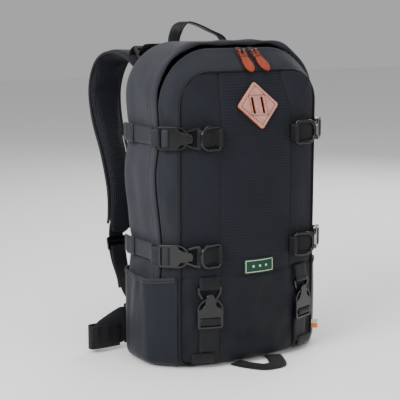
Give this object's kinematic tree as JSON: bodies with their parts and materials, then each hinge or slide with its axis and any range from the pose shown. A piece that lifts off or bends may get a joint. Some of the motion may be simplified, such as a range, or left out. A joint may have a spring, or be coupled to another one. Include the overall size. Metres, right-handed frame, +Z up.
{
  "type": "daypack",
  "caption": "Upright panel-loading daypack with a zipped folding top, side-release compression straps, gear rings, stretch pockets and padded harness.",
  "frame": {"origin": "middle of the flat base, on the surface that the pack stands on", "axes": "+Z up, -Y out of the front panel, +Y out of the back panel towards the wearer, X across the pack"},
  "size_m": [0.388, 0.3366, 0.5041],
  "materials": {
    "main_fabric": "heathered charcoal-black pack cloth",
    "front_fabric": "near-black ribbed pack cloth",
    "gusset_fabric": "near-black twill pack cloth",
    "back_mesh": "black spacer mesh",
    "pocket_stretch": "smooth blue-black stretch woven",
    "strap_padding": "black padded cloth and mesh",
    "webbing": "black ribbed webbing",
    "buckle_plastic": "black moulded acetal, satin gloss",
    "zipper_black": "black zipper coil",
    "zipper_metal": "black enamelled slider",
    "patch_leather": "pinkish-tan leather with burnished rust edges",
    "pull_leather": "rust-orange leather",
    "frame_plastic": "black polyethylene frame sheet",
    "label_green": "plain green woven label",
    "tag_orange": "orange ribbon"
  },
  "bodies": {
    "pack": {"top_panel": "main_fabric", "bottom_panel": "main_fabric", "side_panel_left": "main_fabric", "side_panel_right": "main_fabric", "front_panel_centre": "front_fabric", "front_panel_left": "front_fabric", "front_panel_right": "front_fabric", "front_panel_lower": "front_fabric", "gusset_left": "gusset_fabric", "gusset_right": "gusset_fabric", "gusset_bottom": "gusset_fabric", "rear_panel": "back_mesh", "back_pad_left": "back_mesh", "back_pad_right": "back_mesh", "lumbar_pad": "back_mesh", "strap_yoke": "back_mesh", "side_pocket_left": "pocket_stretch", "side_pocket_right": "pocket_stretch", "shoulder_strap_left": "strap_padding", "shoulder_strap_right": "strap_padding", "compression_strap_upper_left": "webbing", "compression_strap_upper_right": "webbing", "compression_strap_lower_left": "webbing", "compression_strap_lower_right": "webbing", "ring_tabs": "webbing", "lash_webbing": "webbing", "lash_anchors": "webbing", "bottom_loop": "webbing", "harness_webbing": "webbing", "handle_ends": "webbing", "buckle_receivers": "buckle_plastic", "lash_receivers": "buckle_plastic", "ladder_locks": "buckle_plastic", "zipper_coils": "zipper_black", "frame_sheet": "frame_plastic", "woven_label": "label_green", "side_tag": "tag_orange"},
    "flap": {"flap_panel": "front_fabric", "flap_gusset": "gusset_fabric", "flap_coil": "zipper_black", "leather_patch": "patch_leather"},
    "slider_left": {"zipper_slider_left": "zipper_metal"},
    "slider_right": {"zipper_slider_right": "zipper_metal"},
    "pull_left": {"zipper_pull_left": "pull_leather"},
    "pull_right": {"zipper_pull_right": "pull_leather"},
    "handle": {"grab_handle": "webbing"},
    "wing_left": {"hip_wing_left": "strap_padding", "hip_webbing_left": "webbing"},
    "wing_right": {"hip_wing_right": "strap_padding", "hip_webbing_right": "webbing"},
    "lash_left": {"lash_buckle_left": "buckle_plastic"},
    "lash_right": {"lash_buckle_right": "buckle_plastic"},
    "ring_upper_left": {"gear_ring_upper_left": "buckle_plastic"},
    "buckle_upper_left": {"buckle_upper_left": "buckle_plastic"},
    "ring_upper_right": {"gear_ring_upper_right": "buckle_plastic"},
    "buckle_upper_right": {"buckle_upper_right": "buckle_plastic"},
    "ring_lower_left": {"gear_ring_lower_left": "buckle_plastic"},
    "buckle_lower_left": {"buckle_lower_left": "buckle_plastic"},
    "ring_lower_right": {"gear_ring_lower_right": "buckle_plastic"},
    "buckle_lower_right": {"buckle_lower_right": "buckle_plastic"}
  },
  "joints": [
    {"name": "flap_hinge", "type": "hinge", "parent": "pack", "child": "flap", "pos_m": [0, -0.093, 0.346], "axis": [1, 0, 0], "range_deg": [0, 90]},
    {"name": "slider_left_travel", "type": "slide", "parent": "flap", "child": "slider_left", "axis": [-1, 0, 0], "range_m": [0, 0.04]},
    {"name": "slider_right_travel", "type": "slide", "parent": "flap", "child": "slider_right", "axis": [1, 0, 0], "range_m": [0, 0.028]},
    {"name": "pull_left_swing", "type": "hinge", "parent": "slider_left", "child": "pull_left", "pos_m": [-0.002, -0.04555, 0.46229], "axis": [-1, 0, 0], "range_deg": [0, 125]},
    {"name": "pull_right_swing", "type": "hinge", "parent": "slider_right", "child": "pull_right", "pos_m": [0.02, -0.04555, 0.46229], "axis": [-1, 0, 0], "range_deg": [0, 125]},
    {"name": "handle_fold", "type": "hinge", "parent": "pack", "child": "handle", "pos_m": [0, 0.072, 0.467], "axis": [-1, 0, 0], "range_deg": [0, 45]},
    {"name": "wing_left_fold", "type": "hinge", "parent": "pack", "child": "wing_left", "pos_m": [-0.122, 0.082, 0.037], "axis": [0, 0, -1], "range_deg": [0, 70]},
    {"name": "wing_right_fold", "type": "hinge", "parent": "pack", "child": "wing_right", "pos_m": [0.122, 0.082, 0.037], "axis": [0, 0, 1], "range_deg": [0, 70]},
    {"name": "ring_upper_left_swing", "type": "hinge", "parent": "pack", "child": "ring_upper_left", "pos_m": [-0.068, -0.09182, 0.342], "axis": [0, 0, 1], "range_deg": [0, 25]},
    {"name": "buckle_upper_left_release", "type": "slide", "parent": "pack", "child": "buckle_upper_left", "axis": [-0.7193, 0.6947, 0], "range_m": [0, 0.022]},
    {"name": "ring_upper_right_swing", "type": "hinge", "parent": "pack", "child": "ring_upper_right", "pos_m": [0.068, -0.09182, 0.342], "axis": [0, 0, -1], "range_deg": [0, 25]},
    {"name": "buckle_upper_right_release", "type": "slide", "parent": "pack", "child": "buckle_upper_right", "axis": [0.7193, 0.6947, 0], "range_m": [0, 0.022]},
    {"name": "ring_lower_left_swing", "type": "hinge", "parent": "pack", "child": "ring_lower_left", "pos_m": [-0.068, -0.09182, 0.171], "axis": [0, 0, 1], "range_deg": [0, 80]},
    {"name": "buckle_lower_left_release", "type": "slide", "parent": "pack", "child": "buckle_lower_left", "axis": [-0.7193, 0.6947, 0], "range_m": [0, 0.022]},
    {"name": "ring_lower_right_swing", "type": "hinge", "parent": "pack", "child": "ring_lower_right", "pos_m": [0.068, -0.09182, 0.171], "axis": [0, 0, -1], "range_deg": [0, 80]},
    {"name": "buckle_lower_right_release", "type": "slide", "parent": "pack", "child": "buckle_lower_right", "axis": [0.7193, 0.6947, 0], "range_m": [0, 0.022]},
    {"name": "lash_left_release", "type": "slide", "parent": "pack", "child": "lash_left", "axis": [0, 0, -1], "range_m": [0, 0.022]},
    {"name": "lash_right_release", "type": "slide", "parent": "pack", "child": "lash_right", "axis": [0, 0, -1], "range_m": [0, 0.022]}
  ]
}
